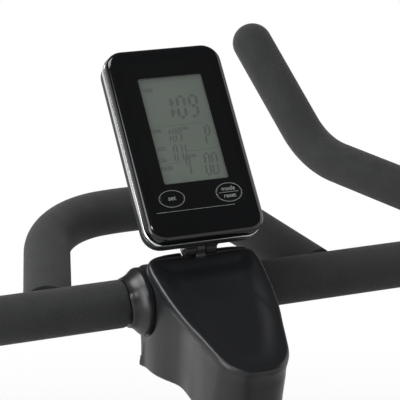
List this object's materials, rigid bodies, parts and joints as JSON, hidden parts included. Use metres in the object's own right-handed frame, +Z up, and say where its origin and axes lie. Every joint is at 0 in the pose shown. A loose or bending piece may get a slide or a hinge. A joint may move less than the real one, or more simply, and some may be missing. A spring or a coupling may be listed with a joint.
{
  "type": "exercise bike",
  "caption": "Indoor exercise bike: front flywheel with belt drive and friction brake, adjustable saddle and handlebar post, foam bull-horn bars with a middle loop, and a tilting console.",
  "frame": {"origin": "on the floor, in the middle of the footprint", "axes": "+X forward, +Y to the rider's left, +Z up"},
  "size_m": [1.2, 0.567, 1.2341],
  "materials": {
    "frame_paint": "satin",
    "steel": "brushed",
    "chrome": "polished",
    "cast_iron": "ground",
    "aluminium": "satin",
    "foam": "matte closed-cell foam",
    "rubber": "matte",
    "black_plastic": "satin",
    "gloss_black": "gloss",
    "lens": "gloss",
    "lcd": "satin",
    "board": "satin",
    "cell": "gloss",
    "felt": "matte",
    "saddle_skin": "matte grained"
  },
  "bodies": {
    "frame": {"head_tube": "frame_paint", "post_bushings": "black_plastic", "down_tube": "frame_paint", "seat_tube": "frame_paint", "rear_beam": "frame_paint", "fork_left": "frame_paint", "fork_right": "frame_paint", "front_stabilizer": "frame_paint", "rear_stabilizer": "frame_paint", "stabilizer_end_caps": "rubber", "ball_bearings": "steel", "flywheel_axle": "steel", "frame_fasteners": "steel", "belt_guard_inner": "black_plastic", "belt_guard_outer": "black_plastic", "drive_belt": "rubber"},
    "transport_wheel_left": {"transport_wheel_left": "rubber"},
    "transport_wheel_right": {"transport_wheel_right": "rubber"},
    "levelling_foot_left": {"levelling_foot_left": "rubber"},
    "levelling_foot_right": {"levelling_foot_right": "rubber"},
    "crankset": {"crank_spindle": "steel", "drive_pulley": "aluminium", "crank_left": "aluminium", "crank_right": "aluminium", "pedal_axles": "steel"},
    "pedal_left": {"pedal_left": "black_plastic"},
    "pedal_right": {"pedal_right": "black_plastic"},
    "flywheel": {"flywheel": "cast_iron", "flywheel_pulley": "aluminium"},
    "brake": {"brake_rod": "steel", "brake_spring": "steel", "brake_pad": "felt"},
    "resistance_knob": {"resistance_knob": "black_plastic"},
    "seat_post": {"seat_post": "chrome"},
    "saddle": {"seat_carriage": "black_plastic", "saddle_rails": "steel", "saddle_shell": "black_plastic", "saddle_cushion": "saddle_skin"},
    "seat_height_knob": {"seat_height_knob": "black_plastic"},
    "seat_slide_knob": {"seat_slide_knob": "black_plastic"},
    "handlebar": {"handlebar_post": "chrome", "handlebar_tube": "steel", "grip_left": "foam", "grip_right": "foam", "loop_grip": "foam", "bar_collars": "black_plastic", "stem_cover_rear": "black_plastic", "stem_cover_front": "black_plastic", "console_hinge_pin": "steel"},
    "handlebar_knob": {"handlebar_knob": "black_plastic"},
    "console": {"console_back": "black_plastic", "console_trim": "chrome", "console_front": "gloss_black", "console_lens": "lens", "lcd_panel": "lcd", "circuit_board": "board", "batteries": "cell"},
    "button_set": {"button_set": "gloss_black"},
    "button_mode": {"button_mode": "gloss_black"},
    "battery_door": {"battery_door": "black_plastic"}
  },
  "joints": [
    {"name": "flywheel_spin", "type": "hinge", "parent": "frame", "child": "flywheel", "pos_m": [0.385, 0, 0.285], "axis": [0, 1, 0], "continuous": true},
    {"name": "crank_spin", "type": "hinge", "parent": "frame", "child": "crankset", "pos_m": [-0.045, 0, 0.3], "axis": [0, 1, 0], "continuous": true},
    {"name": "pedal_left_spin", "type": "hinge", "parent": "crankset", "child": "pedal_left", "pos_m": [-0.215, 0.13, 0.3], "axis": [0, 1, 0], "continuous": true},
    {"name": "pedal_right_spin", "type": "hinge", "parent": "crankset", "child": "pedal_right", "pos_m": [0.125, -0.13, 0.3], "axis": [0, 1, 0], "continuous": true},
    {"name": "brake_push", "type": "slide", "parent": "frame", "child": "brake", "axis": [0.7323, 0, -0.681], "range_m": [0, 0.0036], "stiffness_N_per_m": 2500},
    {"name": "resistance_turn", "type": "hinge", "parent": "brake", "child": "resistance_knob", "pos_m": [0.0708, 0, 0.57722], "axis": [-0.7323, 0, 0.681], "range_deg": [-360, 360]},
    {"name": "seat_height", "type": "slide", "parent": "frame", "child": "seat_post", "axis": [-0.309, 0, 0.9511], "range_m": [-0.11, 0.1]},
    {"name": "seat_fore_aft", "type": "slide", "parent": "seat_post", "child": "saddle", "axis": [1, 0, 0], "range_m": [-0.06, 0.06]},
    {"name": "seat_height_lock", "type": "hinge", "parent": "frame", "child": "seat_height_knob", "pos_m": [-0.20342, 0, 0.59341], "axis": [-0.9511, 0, -0.309], "range_deg": [-540, 0]},
    {"name": "seat_slide_lock", "type": "hinge", "parent": "saddle", "child": "seat_slide_knob", "pos_m": [-0.21305, 0.05, 0.84559], "axis": [0, 1, 0], "range_deg": [-540, 0]},
    {"name": "handlebar_height", "type": "slide", "parent": "frame", "child": "handlebar", "axis": [-0.2504, 0, 0.9681], "range_m": [-0.06, 0.1]},
    {"name": "handlebar_lock", "type": "hinge", "parent": "frame", "child": "handlebar_knob", "pos_m": [0.13775, 0, 0.78746], "axis": [-0.9681, 0, -0.2504], "range_deg": [-540, 0]},
    {"name": "console_tilt", "type": "hinge", "parent": "handlebar", "child": "console", "pos_m": [0.20801, 0, 1.10165], "axis": [0, 1, 0], "range_deg": [-15, 20]},
    {"name": "button_set_press", "type": "slide", "parent": "console", "child": "button_set", "axis": [0.788, 0, -0.6157], "range_m": [0, 0.0008], "stiffness_N_per_m": 1500},
    {"name": "button_mode_press", "type": "slide", "parent": "console", "child": "button_mode", "axis": [0.788, 0, -0.6157], "range_m": [0, 0.0008], "stiffness_N_per_m": 1500},
    {"name": "battery_door_slide", "type": "slide", "parent": "console", "child": "battery_door", "axis": [-0.6157, 0, -0.788], "range_m": [0, 0.03]},
    {"name": "transport_wheel_left_roll", "type": "hinge", "parent": "frame", "child": "transport_wheel_left", "pos_m": [0.54, 0.195, 0.044], "axis": [0, 1, 0], "continuous": true},
    {"name": "levelling_foot_left_turn", "type": "hinge", "parent": "frame", "child": "levelling_foot_left", "pos_m": [-0.575, 0.215, 0.01], "axis": [0, 0, 1], "range_deg": [-360, 360]},
    {"name": "transport_wheel_right_roll", "type": "hinge", "parent": "frame", "child": "transport_wheel_right", "pos_m": [0.54, -0.195, 0.044], "axis": [0, 1, 0], "continuous": true},
    {"name": "levelling_foot_right_turn", "type": "hinge", "parent": "frame", "child": "levelling_foot_right", "pos_m": [-0.575, -0.215, 0.01], "axis": [0, 0, 1], "range_deg": [-360, 360]}
  ],
  "couplings": [
    {"joint": "crank_spin", "follows": "flywheel_spin", "ratio": 0.31579}
  ]
}
